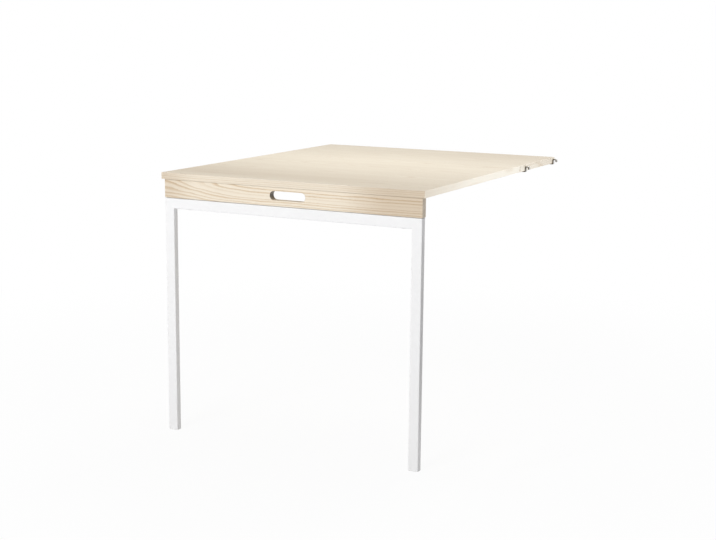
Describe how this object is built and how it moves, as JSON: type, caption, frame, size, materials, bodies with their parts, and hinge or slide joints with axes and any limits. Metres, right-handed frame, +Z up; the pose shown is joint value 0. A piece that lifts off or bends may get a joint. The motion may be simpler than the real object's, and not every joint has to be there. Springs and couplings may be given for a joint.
{
  "type": "wall mounted drop leaf table",
  "caption": "Table that hooks onto wall side panels: fixed shelf board, hinged drop leaf with gripped apron, and a white leg frame that folds under the leaf.",
  "frame": {"origin": "on the floor under the middle of the table top, half-way across its width and its depth", "axes": "+X across the table to the right of someone facing the wall, +Y towards the wall, +Z up"},
  "size_m": [0.806, 0.96, 0.72],
  "materials": {
    "ash_veneer": "clear matt lacquer on pale ash veneer, grain across the table",
    "ash_edge": "clear matt lacquer on solid ash strip",
    "ash_solid": "clear matt lacquer on solid pale ash, grain along the rail",
    "beech_dowel": "plain fluted beech, glued in",
    "white_powder_coat": "satin white powder coat on steel tube",
    "white_plastic": "fine matt moulded",
    "grey_rubber": "soft matt",
    "hook_steel": "satin bent steel strip",
    "zinc_steel": "bright zinc plate",
    "black_nylon": "plain matt"
  },
  "bodies": {
    "shelf": {"hinge_pin_left": "zinc_steel", "hinge_pin_middle": "zinc_steel", "hinge_pin_right": "zinc_steel", "hinge_shelf_wing_left": "zinc_steel", "hinge_shelf_wing_middle": "zinc_steel", "hinge_shelf_wing_right": "zinc_steel", "hook_front_left": "hook_steel", "hook_front_right": "hook_steel", "hook_rear_left": "hook_steel", "hook_rear_right": "hook_steel", "hook_screws": "zinc_steel", "shelf_edge_front": "ash_edge", "shelf_edge_left": "ash_edge", "shelf_edge_rear": "ash_edge", "shelf_edge_right": "ash_edge", "shelf_hinge_screws": "zinc_steel", "shelf_panel": "ash_veneer"},
    "leaf": {"apron": "ash_solid", "apron_dowels": "beech_dowel", "buffer_left": "grey_rubber", "buffer_right": "grey_rubber", "fold_bracket_left": "zinc_steel", "fold_bracket_right": "zinc_steel", "fold_bracket_screws": "zinc_steel", "hinge_leaf_wing_left": "zinc_steel", "hinge_leaf_wing_middle": "zinc_steel", "hinge_leaf_wing_right": "zinc_steel", "leaf_edge_front": "ash_edge", "leaf_edge_left": "ash_edge", "leaf_edge_rear": "ash_edge", "leaf_edge_right": "ash_edge", "leaf_hinge_screws": "zinc_steel", "leaf_panel": "ash_veneer"},
    "leg_frame": {"crossbar": "white_powder_coat", "foot_left": "white_plastic", "foot_right": "white_plastic", "leg_left": "white_powder_coat", "leg_right": "white_powder_coat", "pivot_bolt_left": "zinc_steel", "pivot_bolt_right": "zinc_steel", "pivot_ears_left": "white_powder_coat", "pivot_ears_right": "white_powder_coat", "pivot_nut_left": "zinc_steel", "pivot_nut_right": "zinc_steel", "pivot_washers": "black_nylon"}
  },
  "joints": [
    {"name": "leaf_drop", "type": "hinge", "parent": "shelf", "child": "leaf", "pos_m": [0, 0.18, 0.698], "axis": [1, 0, 0], "range_deg": [0, 90]},
    {"name": "leg_fold", "type": "hinge", "parent": "leaf", "child": "leg_frame", "pos_m": [0, -0.448, 0.625], "axis": [1, 0, 0], "range_deg": [0, 90]}
  ]
}
